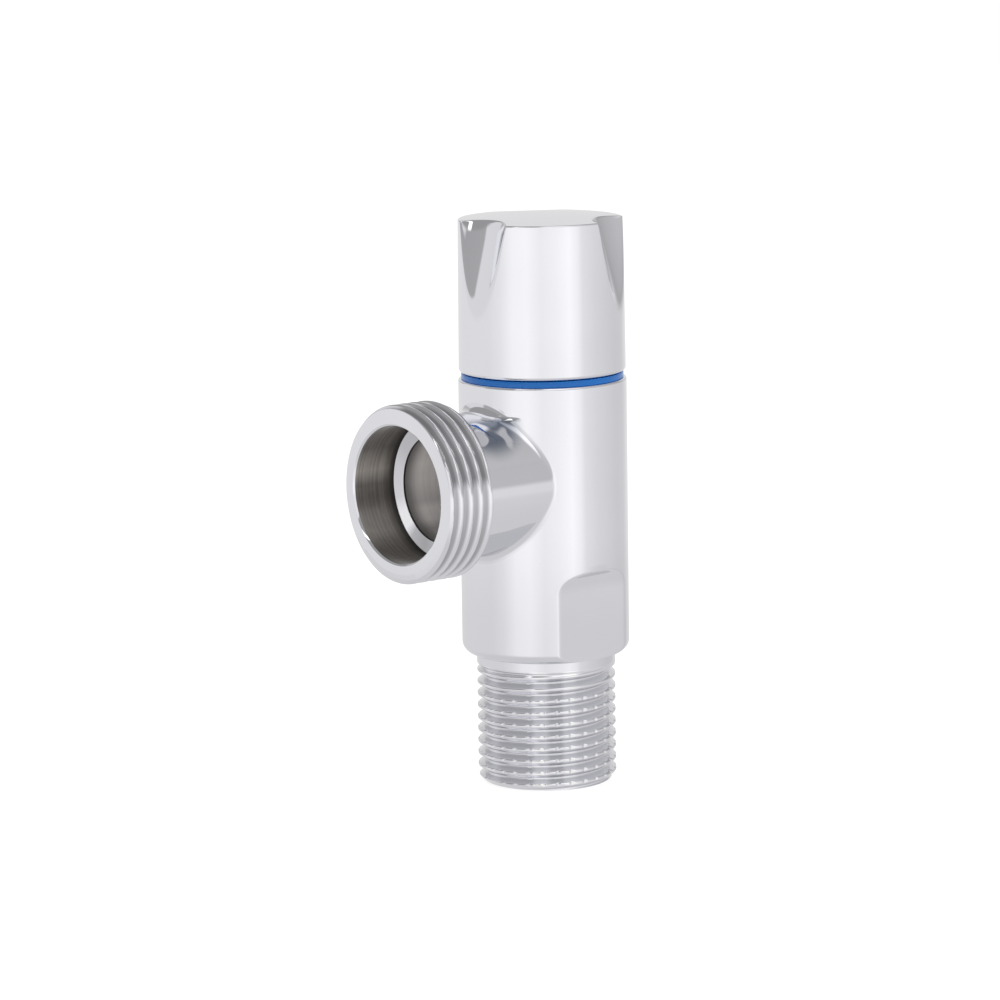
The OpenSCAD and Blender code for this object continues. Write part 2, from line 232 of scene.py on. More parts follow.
# painted light and shade on the threads, lengths in metres: painted shade deeper in the grooves,
# and painted streaks of reflected light and the end ring's painted levels, both by direction
outletGroove = {
    "shift": toBranch,
    "axis": 1,
    "inner": 0.0115,
    "root": 0.0125,
    "crest": 0.0130,
    "paintedDark": 0.55,
    "ends": (0.0, 0.0272),
    "paintedStreaks": ((-180, 1.0), (-90, 1.0), (-40, 1.05), (0, 1.0), (40, 1.05), (90, 0.98),
                (180, 1.0)),
    "seat": ((-180, 0.84), (-166, 0.88), (-152, 1.14), (-138, 1.14), (-128, 0.62), (-110, 0.5),
             (-60, 0.85), (0, 0.9), (60, 0.72), (120, 0.6), (146, 0.66), (165, 0.8), (180, 0.84)),
}
# the same painted light and shade for the inlet's thread
inletGroove = {
    "shift": (0.0, 0.0, 0.0),
    "axis": 2,
    "inner": 0.0088,
    "root": 0.0095,
    "crest": 0.01035,
    "paintedDark": 0.93,
    "ends": (0.0008, 0.0182),
    "paintedStreaks": ((-180, 0.93), (-150, 1.1), (-135, 0.93), (-108, 0.94), (-96, 1.1), (-86, 0.93),
                (-55, 0.93), (-50, 1.13), (-41, 1.13), (-36, 0.95), (-27, 0.95), (-23, 1.13),
                (-15, 1.13), (-10, 1.04), (22, 1.04), (30, 1.12), (40, 0.98), (80, 0.93),
                (95, 1.12), (108, 0.93), (150, 1.08), (180, 0.93)),
    "seat": ((-180, 0.9), (-60, 0.95), (60, 0.85), (180, 0.9)),
}


def roundAxis(tree, shift, axis):  # radius and turn round an axis, and distance along it
    x, y, z = splitNode(tree, objectPlace(tree, shift=shift))
    first, second, along = (x, z, y) if axis == 1 else (x, y, z)
    turn = plus(tree, turnNode(tree, first, second), 0.5)
    return distanceNode(tree, first, second), turn, mathNode(tree, "ABSOLUTE", along)


# painted light and shade: the colour times a level for each direction round the axis
def paintedStreakNode(tree, tint, turn, paintedStreaks):
    return vectorNode(tree, "MULTIPLY", tint, directionRamp(tree, turn, paintedStreaks))


def tintNode(tree, value, look, span=noiseSpan):  # between the look's dark and light
    return rampNode(tree, value, list(zip(span, (look["dark"], look["light"]))))


def darker(look, share):
    return tuple(share * c for c in look["dark"])


def chromeFinish(name, look, ripple=None, groove=None):
    material, tree, shader = blankMaterial(name)
    place = objectPlace(tree)
    wide = noiseNode(tree, place, look["waveScale"])
    fine = noiseNode(tree, place, look["peelScale"], detail=3.0)
    tint = tintNode(tree, wide, look)
    wire(tree, rangeNode(tree, fine, noiseSpan, look["roughness"]), shader.inputs["Roughness"])
    shader.inputs["Metallic"].default_value = 1.0
    wave = bumpNode(tree, wide, look["waveHeight"])
    if groove:
        # painted light and shade on the threads: the end ring's levels and the streaks by
        # direction, and shade deeper in the grooves
        radius, turn, along = roundAxis(tree, groove["shift"], groove["axis"])
        start, end = groove["ends"]
        sleeve = times(tree, mathNode(tree, "GREATER_THAN", along, start),
                       mathNode(tree, "LESS_THAN", along, end))
        outer = times(tree, sleeve, mathNode(tree, "GREATER_THAN", radius, groove["inner"]))
        seat = minus(tree, sleeve, outer)
        tint = mixColours(tree, seat, tint, paintedStreakNode(tree, tint, turn, groove["seat"]))
        # painted shade, darker towards the groove's root
        depth = times(tree, outer, fadeNode(tree, radius, groove["crest"], groove["root"]))
        tint = mixColours(tree, depth, tint, darker(look, groove["paintedDark"]))
        tint = mixColours(tree, outer, tint, paintedStreakNode(tree, tint, turn, groove["paintedStreaks"]))
    if ripple:
        away = vectorNode(tree, "DISTANCE", place, ripple["centre"])
        low = fadeNode(tree, splitNode(tree, place)[2], *ripple["top"])
        amount = times(tree, fadeNode(tree, away, *ripple["reach"]), low)
        swirl = noiseNode(tree, objectPlace(tree, shift=ripple["shift"]), ripple["scale"],
                          detail=1.0, roughness=ripple["roughness"])
        wave = bumpNode(tree, times(tree, swirl, amount), ripple["height"], wave)
        # dark patches of painted reflection over the ripple's bumps
        patches = times(tree, amount, fadeNode(tree, swirl, *ripple["broken"]))
        tint = mixColours(tree, patches, tint, ripple["paintedDark"])
    wire(tree, tint, shader.inputs["Base Color"])
    wire(tree, bumpNode(tree, fine, look["peelHeight"], wave), shader.inputs["Normal"])
    return material


boreLines = {"across": 30.0, "along": 2600.0, "lineHeight": 0.000020}  # fine turning marks
# the branch's mouth: a darker copy of the bores' nickel, painted shade, with painted streaks of
# reflected light by direction
mouthLook = {
    **boreLines,
    "light": (0.47, 0.44, 0.415),
    "dark": (0.22, 0.203, 0.19),
    "roughness": (0.30, 0.48),
    "stretch": 0.9,
    "paintedStreaks": ((-180, 0.72), (-170, 0.78), (-158, 1.05), (-140, 1.25), (-128, 0.85), (-90, 0.8),
                (-40, 1.1), (0, 0.95), (40, 1.15), (90, 0.8), (128, 0.75), (146, 0.8),
                (158, 1.5), (167, 1.8), (177, 0.95), (180, 0.72)),
    "fade": (0.0203, 0.0230),  # distances out: painted shade, dark at the shoulder, and free of it
    "paintedShadeLevel": 0.30,
}
chamberLook = {
    **boreLines,
    "light": (0.97, 0.965, 0.96),
    "dark": (0.86, 0.85, 0.845),
    "roughness": (0.30, 0.46),
    "stretch": 0.9,
}
# the passage: painted streaks of reflected light by direction, and painted shade near the shoulder
nickelLook = {
    **boreLines,
    "light": (1.0, 0.968, 0.95),
    "dark": (0.91, 0.87, 0.85),
    "roughness": (0.66, 0.86),
    "stretch": 0.95,
    "paintedStreaks": ((-180, 0.9), (-166, 0.84), (-158, 0.8), (-150, 1.0), (-136, 1.0), (-124, 0.7),
                (-80, 0.9), (-30, 1.0), (20, 0.9), (60, 1.0), (100, 0.9), (130, 1.0),
                (160, 1.0), (172, 0.9), (180, 0.9)),
    "fade": (0.0204, 0.0170),
    "paintedShadeLevel": 0.30,
}
turnedMix = {"lines": 0.65, "cloud": 0.35, "cloudScale": 180.0, "span": (0.32, 0.66)}


def turnedFinish(name, look, axis):
    material, tree, shader = blankMaterial(name)
    spread = [look["across"]] * 3
    spread[axis] = look["along"]
    lines = noiseNode(tree, objectPlace(tree, tuple(spread)), 1.0, detail=3.0, roughness=0.6)
    cloud = noiseNode(tree, objectPlace(tree), turnedMix["cloudScale"], detail=3.0)
    cloud = times(tree, cloud, turnedMix["cloud"])
    mixed = mathNode(tree, "MULTIPLY_ADD", lines, turnedMix["lines"], cloud)
    tint = tintNode(tree, mixed, look, turnedMix["span"])
    # painted light and shade: streaks by direction, and shade darkening towards the shoulder
    if "paintedStreaks" in look:
        turn, out = roundAxis(tree, toBranch, 1)[1:]
        tint = paintedStreakNode(tree, tint, turn, look["paintedStreaks"])
        clear = fadeNode(tree, out, *look["fade"])
        tint = mixColours(tree, clear, darker(look, look["paintedShadeLevel"]), tint)
    wire(tree, tint, shader.inputs["Base Color"])
    roughness = rangeNode(tree, mixed, noiseSpan, look["roughness"][::-1])
    wire(tree, roughness, shader.inputs["Roughness"])
    shader.inputs["Metallic"].default_value = 1.0
    wire(tree, bumpNode(tree, lines, look["lineHeight"]), shader.inputs["Normal"])
    # the turning lines spread light along the turned axis
    shader.inputs["Anisotropic"].default_value = look["stretch"]
    facing = newNode(tree, "ShaderNodeNewGeometry").outputs["Normal"]
    circle = vectorNode(tree, "CROSS_PRODUCT", facing, [float(i == axis) for i in range(3)])
    wire(tree, vectorNode(tree, "CROSS_PRODUCT", circle, facing), shader.inputs["Tangent"])
    return material


blueLook = {
    "light": (0.003, 0.215, 0.74),
    "dark": (0.002, 0.17, 0.62),
    "roughness": (0.14, 0.24),
    "grain": 900.0,
    "grainHeight": 0.000004,
}
nylonLook = {
    "light": (0.86, 0.855, 0.83),
    "dark": (0.80, 0.795, 0.765),
    "roughness": (0.38, 0.52),
    "grain": 1400.0,
    "grainHeight": 0.000008,
}
rubberLook = {
    "light": (0.032, 0.032, 0.034),
    "dark": (0.018, 0.018, 0.019),
    "roughness": (0.42, 0.62),
    "grain": 2600.0,
    "grainHeight": 0.000012,
}
ceramicLook = {
    "light": (0.90, 0.885, 0.845),
    "dark": (0.84, 0.82, 0.775),
    "roughness": (0.12, 0.2),
    "grain": 3200.0,
    "grainHeight": 0.000003,
}
plasticCloud = 140.0  # scale of the faint blotches in the colour


def plasticFinish(name, look):
    material, tree, shader = blankMaterial(name)
    place = objectPlace(tree)
    grain = noiseNode(tree, place, look["grain"], detail=3.0)
    tint = tintNode(tree, noiseNode(tree, place, plasticCloud), look)
    wire(tree, tint, shader.inputs["Base Color"])
    wire(tree, rangeNode(tree, grain, noiseSpan, look["roughness"]), shader.inputs["Roughness"])
    wire(tree, bumpNode(tree, grain, look["grainHeight"]), shader.inputs["Normal"])
    return material


brassLook = {
    "light": (0.80, 0.60, 0.27),
    "dark": (0.62, 0.44, 0.17),
    "roughness": (0.16, 0.32),
    "across": 24.0,
    "along": 2100.0,
    "lineHeight": 0.000010,
    "stretch": 0.6,
}
steelLook = {
    "light": (0.72, 0.72, 0.72),
    "dark": (0.55, 0.55, 0.56),
    "roughness": (0.2, 0.34),
    "across": 60.0,
    "along": 3000.0,
    "lineHeight": 0.000006,
    "stretch": 0.6,
}

chrome = chromeFinish("polishedChrome", chromeLook)
castChrome = chromeFinish("polishedChromeCast", chromeLook, ripple=rippleLook)
inletChrome = chromeFinish("polishedChromeInlet", chromeLook, groove=inletGroove)
outletChrome = chromeFinish("polishedChromeOutlet", chromeLook, groove=outletGroove)
boreNickel = turnedFinish("turnedNickelAcross", nickelLook, 1)
mouthNickel = turnedFinish("turnedNickelMouth", mouthLook, 1)
bodyNickel = turnedFinish("turnedNickelUpright", chamberLook, 2)
bluePlastic = plasticFinish("blueRingPlastic", blueLook)
brass = turnedFinish("turnedBrass", brassLook, 2)
steel = turnedFinish("satinSpringSteel", steelLook, 2)
rubber = plasticFinish("sealRubber", rubberLook)
ceramic = plasticFinish("lappedCeramic", ceramicLook)
nylon = plasticFinish("bushNylon", nylonLook)
print("finishes made")

weldGap = 0.0005  # nearer points become one, in millimetres


def newSurface():
    return {"points": [], "faces": [], "finish": [], "count": 0}


def addSheet(surface, points, finish=0):
    rows, cols = points.shape[:2]
    start = surface["count"]
    surface["points"].append(points.reshape(-1, 3))
    surface["count"] += rows * cols
    index = start + np.arange(rows * cols).reshape(rows, cols)
    quads = np.stack([index[:-1, :-1], index[:-1, 1:], index[1:, 1:], index[1:, :-1]], axis=-1)
    surface["faces"].append(quads.reshape(-1, 4))
    surface["finish"].append(np.full((rows - 1) * (cols - 1), finish))


def surfaceMesh(name, surface, finishes, sharpAngle=36):
    points = np.concatenate(surface["points"])
    faces = np.concatenate(surface["faces"])
    finish = np.concatenate(surface["finish"])
    keys = np.round(points / weldGap).astype(np.int64)
    _, first, places = np.unique(keys, axis=0, return_index=True, return_inverse=True)
    faces = places.reshape(-1)[faces]
    kept, keptFinish = [], []
    for quad, mark in zip(faces.tolist(), finish.tolist()):
        corners = [c for i, c in enumerate(quad) if c != quad[i - 1]]
        if len(set(corners)) >= 3:
            kept.append(corners)
            keptFinish.append(mark)
    mesh = bpy.data.meshes.new(name)
    mesh.from_pydata((points[first] * mm).tolist(), [], kept)
    mesh.polygons.foreach_set("material_index", keptFinish)
    for material in finishes:
        mesh.materials.append(material)
    work = bmesh.new()
    work.from_mesh(mesh)
    bmesh.ops.recalc_face_normals(work, faces=work.faces)
    loose = sum(1 for edge in work.edges if len(edge.link_faces) != 2)
    if work.calc_volume(signed=True) < 0:
        bmesh.ops.reverse_faces(work, faces=work.faces)
    work.to_mesh(mesh)
    work.free()
    smoothShade(mesh, sharpAngle)
    print(name, len(mesh.vertices), "vertices,", len(kept), "faces, open edges", loose)
    return mesh


def smoothShade(mesh, sharpAngle):
    mesh.polygons.foreach_set("use_smooth", [True] * len(mesh.polygons))
    mesh.set_sharp_from_angle(angle=math.radians(sharpAngle))
    mesh.update()


def linkPiece(name, mesh):
    piece = bpy.data.objects.new(name, mesh)
    bpy.context.scene.collection.objects.link(piece)
    return piece


def evenly(start, end, step):  # from the start up to the end itself
    return np.arange(start, end + step / 2, step)


def arcPoints(centre, radius, start, end, segments):
    angles = np.radians(np.linspace(start, end, segments + 1))
    x, y = centre[0] + radius * np.cos(angles), centre[1] + radius * np.sin(angles)
    return np.stack([x, y], axis=-1)


def roundedOutline(corners, step, segments=4):
    # corners are (radius, height, rounding); long stretches are divided into steps
    rounded = []
    count = len(corners)
    for i, corner in enumerate(corners):
        here = np.array(corner[:2], float)
        rounding = corner[2]
        back = np.array(corners[i - 1][:2]) - here
        ahead = np.array(corners[(i + 1) % count][:2]) - here
        back, ahead = back / np.hypot(*back), ahead / np.hypot(*ahead)
        if rounding <= 0:
            rounded.append(here)
            continue
        half = 0.5 * math.acos(np.clip(back @ ahead, -1, 1))
        middle = back + ahead
        centre = here + middle / np.hypot(*middle) * rounding / math.sin(half)
        reach = rounding / math.tan(half)
        first = (here + back * reach - centre) / rounding
        last = (here + ahead * reach - centre) / rounding
        bend = math.acos(np.clip(first @ last, -1, 1))
        for k in range(segments + 1):
            f = k / segments
            spoke = first * math.sin((1 - f) * bend) + last * math.sin(f * bend)
            rounded.append(centre + rounding * spoke / math.sin(bend))
    dense = []
    for i, point in enumerate(rounded):
        following = rounded[(i + 1) % len(rounded)]
        length = np.hypot(*(following - point))
        pieces = max(1, math.ceil(length / step - tiny))
        for k in range(pieces):
            dense.append(point + (following - point) * k / pieces)
    return np.array(dense)


def wrapPoints(radius, angles, heights):  # rows of points round the axis, angles in degrees
    radius, angles, heights = np.broadcast_arrays(radius, angles, heights)
    around = np.radians(angles)
    return np.stack([radius * np.cos(around), radius * np.sin(around), heights], axis=-1)


def turnedSheet(outline, angles):
    outline = np.asarray(outline)
    return wrapPoints(outline[:, :1], angles, outline[:, 1:2])


def closedLoop(outline):
    return np.concatenate([outline, outline[:1]])


def softMin(a, b, width):
    blend = np.maximum(width - np.abs(a - b), 0) / width
    return np.minimum(a, b) - blend * blend * width / 4


bodySizes = {
    "radius": 12.55,
    "bottom": 19.6,
    "top": 61.0,
    "lowerEdge": 1.7,
    "topBevel": 0.3,
    "flatHalf": 10.8,
    "flatTop": 30.2,
    "flatRunout": 3.5,
    "flatEdge": 0.22,
    "flatSpread": 32,       # degrees each way from a flat's middle
    "neckRadius": 10.6,
    "neckEnd": 20.0,
    "blend": 1.5,
    "inletBore": 7.2,
    "webBottom": 30.5,
    "seatBore": 5.5,
    "seat": 34.0,
    "chamber": 9.2,
    "passage": 8.0,
    "boreEdge": 0.2,
    "seatEdge": 0.3,
    "patchHalf": 66.0,      # degrees each way from the branch
    "patchLow": 33.4,
    "patchHigh": 59.4,
    "innerPatchLow": 37.0,
    "innerPatchHigh": 55.8,
}
bodyMesh = {
    "fineStep": 0.8,        # degrees over the flats
    "coarseStep": 2.0,
    "edgeSteps": 14,
    "bevelSteps": 5,
    "lowRows": (22.2, 30.3, 1.0),
    "runoutRows": (30.36, 33.35, 0.16),
    "highRows": (60.0, 60.4, 60.6),
    "patchRows": 30,
    "patchSteps": 12,
    "innerPatchSteps": 6,
    "gather": 1.35,         # the patch's rows gather towards the branch
    "neckRows": 8,
    "floorRings": (10.7, 8.6),
    "boreStep": 1.2,
    "mouthRows": (58.0, 60.6),
    "topRings": (11.0, 12.1),
}


def barrelColumns(spread, fine, coarse):
    parts = [
        np.arange(-180, spread - 180, fine),
        np.arange(spread - 180, -spread, coarse),
        evenly(-spread, spread, fine),
        np.arange(spread + coarse, 180 - spread, coarse),
        evenly(180 - spread, 180, fine),
    ]
    return np.unique(np.round(np.concatenate(parts), 3))


def barrelRadius(profile, heights, angles, sizes):
    # radius of the barrel in each direction, with the two flats and their run-outs
    runout = sizes["flatRunout"]
    rise = np.clip(heights - sizes["flatTop"], 0, runout)
    half = sizes["flatHalf"] + runout - np.sqrt(runout ** 2 - rise ** 2)
    slope = np.maximum(np.abs(np.cos(np.radians(angles))), leastSlope)
    flat = half[:, None] / slope[None, :]
    return softMin(profile[:, None] + 0 * flat, flat, sizes["flatEdge"])


def patchRing(columns, rows):
    # once round the patch's border, as (angle, height)
    bottom = [(a, rows[0]) for a in columns[:-1]]
    right = [(columns[-1], z) for z in rows[:-1]]
    top = [(a, rows[-1]) for a in columns[::-1][:-1]]
    left = [(columns[0], z) for z in rows[::-1][:-1]]
    return closedLoop(np.array(bottom + right + top + left))


def branchPatch(surface, border, barrel, neck, blend, steps, finishes):
    # from the patch's border to the branch's root, round the blend and out along the branch
    offset = barrel * np.radians(border[:, 0] - branchTurn)
    turn = np.arctan2(border[:, 1] - branchHeight, offset)
    ballX = (neck + blend) * np.cos(turn)
    ballZ = branchHeight + (neck + blend) * np.sin(turn)
    ballY = -np.sqrt((barrel + blend) ** 2 - ballX ** 2)
    footAngle = np.degrees(np.arctan2(ballY, ballX))
    share = (1 - (1 - np.linspace(0, 1, steps + 1)) ** bodyMesh["gather"])[:, None]
    angle = border[None, :, 0] * (1 - share) + footAngle[None, :] * share
    rise = border[None, :, 1] * (1 - share) + ballZ[None, :] * share
    addSheet(surface, wrapPoints(barrel, angle, rise), finishes[0])
    shares = np.linspace(0, 1, bodyMesh["neckRows"] + 1)
    if blend > 0:
        ball = np.stack([ballX, ballY, ballZ], axis=-1)
        toNeck = np.stack([-np.cos(turn), 0 * turn, -np.sin(turn)], axis=-1)
        toBarrel = np.stack([-ballX, -ballY, 0 * turn], axis=-1) / (barrel + blend)
        bend = np.arccos(np.sum(toNeck * toBarrel, axis=-1))[:, None]
        rows = []
        for f in shares:
            spoke = toBarrel * np.sin((1 - f) * bend) + toNeck * np.sin(f * bend)
            rows.append(ball + blend * spoke / np.sin(bend))
        addSheet(surface, np.array(rows), finishes[0])
    root = np.stack([neck * np.cos(turn), ballY, branchHeight + neck * np.sin(turn)], axis=-1)
    end = root.copy()
    end[:, 1] = -bodySizes["neckEnd"]
    addSheet(surface, np.array([root + (end - root) * f for f in shares]), finishes[1])
    return end


def makeBody(sizes, rows):
    surface = newSurface()
    columns = barrelColumns(sizes["flatSpread"], rows["fineStep"], rows["coarseStep"])
    left, right = branchTurn - sizes["patchHalf"], branchTurn + sizes["patchHalf"]
    inside = columns[(columns >= left - nearly) & (columns <= right + nearly)]
    beyond = columns[(columns > -180) & (columns <= left + nearly)] + 360
    outside = np.concatenate([columns[columns >= right - nearly], beyond])
    edge, bevel, radius = sizes["lowerEdge"], sizes["topBevel"], sizes["radius"]
    bottom, top, chamber = sizes["bottom"], sizes["top"], sizes["chamber"]
    lower = arcPoints((radius - edge, bottom + edge), edge, -90, 0, rows["edgeSteps"])
    upper = arcPoints((radius - bevel, top - bevel), bevel, 0, 90, rows["bevelSteps"])
    # the barrel below, beside and above the branch's patch
    below = np.concatenate([lower[:, 1], np.arange(*rows["lowRows"]),
                            np.arange(*rows["runoutRows"]), [sizes["patchLow"]]])
    belowRadius = np.concatenate([lower[:, 0], np.full(len(below) - len(lower), radius)])
    belowWall = barrelRadius(belowRadius, below, columns, sizes)
    addSheet(surface, wrapPoints(belowWall, columns, below[:, None]))
    beside = np.linspace(sizes["patchLow"], sizes["patchHigh"], rows["patchRows"] + 1)
    addSheet(surface, wrapPoints(radius, outside, beside[:, None]))
    straight = [(radius, z) for z in (sizes["patchHigh"], *rows["highRows"])]
    addSheet(surface, turnedSheet(np.concatenate([straight, upper]), columns))
    outerEnd = branchPatch(surface, patchRing(inside, beside), radius, sizes["neckRadius"],
                           sizes["blend"], rows["patchSteps"], (0, 0))
    # shoulder under the barrel, then the bores, up to the chamber's mouth
    firstRow = belowWall[:1]
    rings = np.array([*rows["floorRings"], sizes["inletBore"]])[:, None] + 0 * firstRow
    addSheet(surface, wrapPoints(np.concatenate([firstRow, rings]), columns, bottom))
    boreLine = roundedOutline([
        (sizes["inletBore"], bottom, 0),
        (sizes["inletBore"], sizes["webBottom"], sizes["boreEdge"]),
        (sizes["seatBore"], sizes["webBottom"], sizes["boreEdge"]),
        (sizes["seatBore"], sizes["seat"], sizes["seatEdge"]),
        (chamber, sizes["seat"], sizes["boreEdge"]),
        (chamber, sizes["innerPatchLow"], 0),
    ], rows["boreStep"])
    last = np.argmin(np.hypot(*(boreLine - (chamber, sizes["innerPatchLow"])).T))
    addSheet(surface, turnedSheet(boreLine[:last + 1], columns), 2)
    innerRows = np.linspace(sizes["innerPatchLow"], sizes["innerPatchHigh"], rows["patchRows"] + 1)
    addSheet(surface, wrapPoints(chamber, outside, innerRows[:, None]), 2)
    innerEnd = branchPatch(surface, patchRing(inside, innerRows), chamber, sizes["passage"],
                           0, rows["innerPatchSteps"], (2, 1))
    mouthLine = [(chamber, z) for z in (sizes["innerPatchHigh"], *rows["mouthRows"])]
    mouthLine += [(r, top) for r in (chamber + bevel, *rows["topRings"], upper[-1, 0])]
    addSheet(surface, turnedSheet(mouthLine, columns))
    addSheet(surface, np.array([outerEnd, (outerEnd + innerEnd) / 2, innerEnd]), 1)
    return surfaceMesh("valveShell", surface, [castChrome, boreNickel, bodyNickel])


valveShell = linkPiece("valveShell", makeBody(bodySizes, bodyMesh))
print("valve body made")

threadInputs = {  # the tree's inputs, in millimetres where they are lengths
    "Pitch": 1.814,
    "Crest Radius": 10.4,
    "Thread Depth": 1.0,
    "Crest Start": 0.0,
    "Thread Low": -10.0,
    "Thread High": 100.0,
    "Run Out": 0.6,
    "Notch Count": 0.0,
    "Notch Turn": 0.0,      # share of a full turn
    "Notch Half Width": 0.2,
    "Notch Depth": 0.0,
    "Notch Top": 0.0,
    "Bore Radius": 8.0,
}
threadShape = {
    # share of the cut's depth by distance from the crest, where 1 is midway between crests
    "profile": ((0.14, 0.0), (0.21, 0.045), (0.3, 0.185), (0.5, 0.5), (0.7, 0.815), (0.79, 0.955),
                (0.86, 1.0)),
    "wholePitches": 10,     # keeps what is under FRACT above zero
    "wholeNotches": 100,
    "notchFade": 0.4,
    "boreFacing": 0.4,      # a bore's faces look no steeper up or down than this
    "sharpAngle": 50,
}


def threadTree(shape):
    tree = bpy.data.node_groups.new("threadCutter", "GeometryNodeTree")

    def addSocket(name, kind, way="INPUT"):
        kind = "NodeSocket" + kind
        return tree.interface.new_socket(name=name, in_out=way, socket_type=kind)

    addSocket("Geometry", "Geometry")
    for name, value in threadInputs.items():
        addSocket(name, "Float").default_value = value
    addSocket("Outside Finish", "Material")
    addSocket("Bore Finish", "Material")
    addSocket("Geometry", "Geometry", "OUTPUT")
    given = newNode(tree, "NodeGroupInput").outputs
    x, y, z = splitNode(tree, newNode(tree, "GeometryNodeInputPosition").outputs[0])
    radius = distanceNode(tree, x, y)
    turn = turnNode(tree, x, y)
    # share of the pitch above the crest, then how far from the crest towards the root
    climb = over(tree, minus(tree, z, given["Crest Start"]), given["Pitch"])
    lifted = plus(tree, minus(tree, climb, turn), shape["wholePitches"] + 0.5)
    phase = mathNode(tree, "FRACT", lifted)
    away = times(tree, mathNode(tree, "ABSOLUTE", minus(tree, phase, 0.5)), 2.0)
    curve = newNode(tree, "ShaderNodeFloatCurve", {"Value": away})
    for distance, share in shape["profile"]:
        curve.mapping.curves[0].points.new(distance, share)
    curve.mapping.update()
    depth = times(tree, curve.outputs["Value"], given["Thread Depth"])
    # the cut fades out at both ends of the thread
    up = over(tree, minus(tree, z, given["Thread Low"]), given["Run Out"], clamp=True)
    down = over(tree, minus(tree, given["Thread High"], z), given["Run Out"], clamp=True)
    depth = times(tree, depth, times(tree, up, down))
    # short grip cuts across the crests
    order = times(tree, minus(tree, turn, given["Notch Turn"]), given["Notch Count"])
    part = mathNode(tree, "FRACT", plus(tree, order, shape["wholeNotches"] + 0.5))
    circle = times(tree, given["Crest Radius"], 2 * math.pi)
    arcAway = times(tree, mathNode(tree, "ABSOLUTE", minus(tree, part, 0.5)), circle)
    arcAway = over(tree, arcAway, mathNode(tree, "MAXIMUM", given["Notch Count"], 1.0))
    notch = minus(tree, 1.0, over(tree, arcAway, given["Notch Half Width"]), clamp=True)
    below = over(tree, minus(tree, given["Notch Top"], z), shape["notchFade"], clamp=True)
    notch = times(tree, mathNode(tree, "SQRT", notch), times(tree, below, given["Notch Depth"]))
    cutRadius = minus(tree, given["Crest Radius"], mathNode(tree, "MAXIMUM", depth, notch))
    wanted = mathNode(tree, "MINIMUM", radius, cutRadius)
    grow = over(tree, wanted, mathNode(tree, "MAXIMUM", radius, tiny))
    inputs = {0: times(tree, x, grow), 1: times(tree, y, grow), 2: z}
    join = newNode(tree, "ShaderNodeCombineXYZ", inputs)
    inputs = {"Geometry": given["Geometry"], "Position": join.outputs[0]}
    move = newNode(tree, "GeometryNodeSetPosition", inputs)
    real = newNode(tree, "GeometryNodeRealizeInstances", {0: move.outputs[0]})
    inputs = {"Geometry": real.outputs[0], "Material": given["Outside Finish"]}
    coated = newNode(tree, "GeometryNodeSetMaterial", inputs)
    # the bore's wall has its own finish
    facing = splitNode(tree, newNode(tree, "GeometryNodeInputNormal").outputs[0])
    both = newNode(tree, "FunctionNodeBooleanMath")
    limits = ((radius, given["Bore Radius"]),
              (mathNode(tree, "ABSOLUTE", facing[2]), shape["boreFacing"]))
    for (value, limit), socket in zip(limits, both.inputs):
        compare = newNode(tree, "FunctionNodeCompare", {0: value, 1: limit})
        compare.operation = "LESS_THAN"
        wire(tree, compare.outputs[0], socket)
    inputs = {"Geometry": coated.outputs[0], "Selection": both.outputs[0],
              "Material": given["Bore Finish"]}
    done = newNode(tree, "GeometryNodeSetMaterial", inputs)
    newNode(tree, "NodeGroupOutput", {0: done.outputs[0]})
    return tree


threadCutter = threadTree(threadShape)


def sleeveOutline(sizes):  # fine steps on the threaded wall only
    fine = roundedOutline(sizes["outline"], sizes["step"])
    corners = roundedOutline(sizes["outline"], math.inf)
    keep = []
    for point in fine:
        isCorner = np.min(np.hypot(*(corners - point).T)) < tiny
        onWall = point[0] > sizes["wallInside"]
        if onWall or isCorner or not keep or np.hypot(*(point - keep[-1])) > sizes["coarseStep"]:
            keep.append(point)
    return np.array(keep)


def cutThread(name, sizes, place, finishes):
    surface = newSurface()
    outline = closedLoop(sleeveOutline(sizes))
    addSheet(surface, turnedSheet(outline, np.linspace(-180, 180, sizes["steps"] + 1)))
    blank = surfaceMesh(name, surface, [finishes[0]])
    blank.transform(Matrix.Scale(1 / mm, 4))  # the tree works in millimetres
    piece = linkPiece(name, blank)
    modifier = piece.modifiers.new("thread", "NODES")
    modifier.node_group = threadCutter
    values = {**threadInputs, **sizes["thread"],
              "Outside Finish": finishes[0], "Bore Finish": finishes[1]}
    for socket in threadCutter.interface.items_tree:
        if socket.in_out == "INPUT" and socket.name in values:
            modifier[socket.identifier] = values[socket.name]
    piece.update_tag()
    bpy.context.view_layer.update()
    depsgraph = bpy.context.evaluated_depsgraph_get()
    mesh = bpy.data.meshes.new_from_object(piece.evaluated_get(depsgraph), depsgraph=depsgraph)
    piece.modifiers.remove(modifier)
    mesh.name = name
    mesh.transform(place @ Matrix.Scale(mm, 4))
    piece.data = mesh
    smoothShade(mesh, threadShape["sharpAngle"])
    return piece


